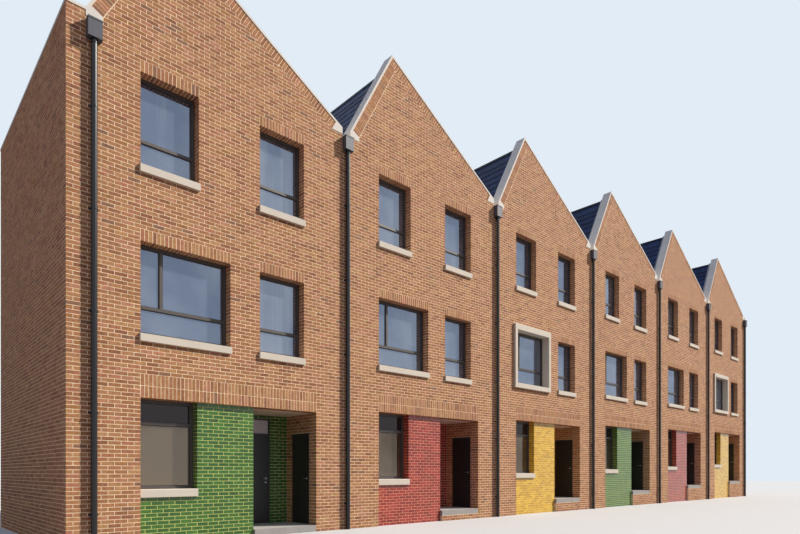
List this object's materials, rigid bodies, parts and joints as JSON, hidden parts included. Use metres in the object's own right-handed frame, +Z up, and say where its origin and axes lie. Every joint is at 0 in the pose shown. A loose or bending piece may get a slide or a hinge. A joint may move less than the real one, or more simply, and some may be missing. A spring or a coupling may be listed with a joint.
{
  "type": "terraced house row",
  "caption": "Row of narrow three-storey brick terraced houses stepping up a street, with asymmetric coped gables, recessed porches, coloured glazed brick panels and hinged doors.",
  "frame": {"origin": "centre of the underside of the party wall between houses 3 and 4, at the lowest ground that the row meets", "axes": "+X along the street, the way it climbs; +Y from the street face into the houses; +Z up"},
  "size_m": [35.344, 6.69, 12.83],
  "materials": {
    "brickwork": "rough fired clay facing brick, many oranges, reds and browns, cream mortar",
    "cast_stone": "smooth pale cast stone, slightly weathered",
    "plaster": "painted board and plaster",
    "roof_slate": "dark blue slate, satin",
    "gutter_lead": "dull grey lining",
    "window_frame": "satin dark bronze powder coat",
    "clear_glass": "clear sealed glazing",
    "green_glazed_brick": "gloss green glaze, pale joints",
    "red_glazed_brick": "gloss red glaze, pale joints",
    "yellow_glazed_brick": "gloss yellow glaze, pale joints",
    "door_paint": "satin near-black paint",
    "rainwater_metal": "semi-gloss dark grey paint"
  },
  "bodies": {
    "row": {"front_wall_1": "brickwork", "front_wall_2": "brickwork", "front_wall_3": "brickwork", "front_wall_4": "brickwork", "front_wall_5": "brickwork", "front_wall_6": "brickwork", "rear_wall_1": "brickwork", "rear_wall_2": "brickwork", "rear_wall_3": "brickwork", "rear_wall_4": "brickwork", "rear_wall_5": "brickwork", "rear_wall_6": "brickwork", "front_piers": "brickwork", "porch_footings": "brickwork", "party_walls": "brickwork", "end_walls": "brickwork", "ground_floors": "plaster", "first_floors": "plaster", "second_floors": "plaster", "steep_roof_slopes": "roof_slate", "shallow_roof_slopes": "roof_slate", "valley_gutters": "gutter_lead", "front_copings": "cast_stone", "rear_copings": "cast_stone", "end_copings": "cast_stone", "kneelers": "cast_stone", "window_sills": "cast_stone", "stone_surrounds": "cast_stone", "ground_windows": "window_frame", "first_floor_windows": "window_frame", "second_floor_windows": "window_frame", "window_glass": "clear_glass", "green_glazed_walls": "green_glazed_brick", "red_glazed_walls": "red_glazed_brick", "yellow_glazed_walls": "yellow_glazed_brick", "porch_back_walls": "brickwork", "porch_side_walls": "brickwork", "porch_lintels": "brickwork", "porch_soffits": "plaster", "door_posts": "door_paint", "door_heads": "door_paint", "fanlight_glass": "clear_glass", "hoppers": "rainwater_metal", "downpipes": "rainwater_metal"},
    "front_door_1": {"front_door_1": "door_paint"},
    "side_door_1": {"side_door_1": "door_paint"},
    "front_door_2": {"front_door_2": "door_paint"},
    "side_door_2": {"side_door_2": "door_paint"},
    "front_door_3": {"front_door_3": "door_paint"},
    "side_door_3": {"side_door_3": "door_paint"},
    "front_door_4": {"front_door_4": "door_paint"},
    "side_door_4": {"side_door_4": "door_paint"},
    "front_door_5": {"front_door_5": "door_paint"},
    "side_door_5": {"side_door_5": "door_paint"},
    "front_door_6": {"front_door_6": "door_paint"},
    "side_door_6": {"side_door_6": "door_paint"}
  },
  "joints": [
    {"name": "front_door_1_hinge", "type": "hinge", "parent": "row", "child": "front_door_1", "pos_m": [-13.9075, -1.841, 1.15], "axis": [0, 0, 1], "range_deg": [0, 90]},
    {"name": "side_door_1_hinge", "type": "hinge", "parent": "row", "child": "side_door_1", "pos_m": [-12.4855, -2.1925, 1.15], "axis": [0, 0, -1], "range_deg": [0, 90]},
    {"name": "front_door_2_hinge", "type": "hinge", "parent": "row", "child": "front_door_2", "pos_m": [-8.0575, -1.841, 1.3], "axis": [0, 0, 1], "range_deg": [0, 90]},
    {"name": "side_door_2_hinge", "type": "hinge", "parent": "row", "child": "side_door_2", "pos_m": [-6.6355, -2.1925, 1.3], "axis": [0, 0, -1], "range_deg": [0, 90]},
    {"name": "front_door_3_hinge", "type": "hinge", "parent": "row", "child": "front_door_3", "pos_m": [-2.2075, -1.841, 1.45], "axis": [0, 0, 1], "range_deg": [0, 90]},
    {"name": "side_door_3_hinge", "type": "hinge", "parent": "row", "child": "side_door_3", "pos_m": [-0.7855, -2.1925, 1.45], "axis": [0, 0, -1], "range_deg": [0, 90]},
    {"name": "front_door_4_hinge", "type": "hinge", "parent": "row", "child": "front_door_4", "pos_m": [3.6425, -1.841, 1.6], "axis": [0, 0, 1], "range_deg": [0, 90]},
    {"name": "side_door_4_hinge", "type": "hinge", "parent": "row", "child": "side_door_4", "pos_m": [5.0645, -2.1925, 1.6], "axis": [0, 0, -1], "range_deg": [0, 90]},
    {"name": "front_door_5_hinge", "type": "hinge", "parent": "row", "child": "front_door_5", "pos_m": [9.4925, -1.841, 1.75], "axis": [0, 0, 1], "range_deg": [0, 90]},
    {"name": "side_door_5_hinge", "type": "hinge", "parent": "row", "child": "side_door_5", "pos_m": [10.9145, -2.1925, 1.75], "axis": [0, 0, -1], "range_deg": [0, 90]},
    {"name": "front_door_6_hinge", "type": "hinge", "parent": "row", "child": "front_door_6", "pos_m": [15.3425, -1.841, 1.9], "axis": [0, 0, 1], "range_deg": [0, 90]},
    {"name": "side_door_6_hinge", "type": "hinge", "parent": "row", "child": "side_door_6", "pos_m": [16.7645, -2.1925, 1.9], "axis": [0, 0, -1], "range_deg": [0, 90]}
  ]
}
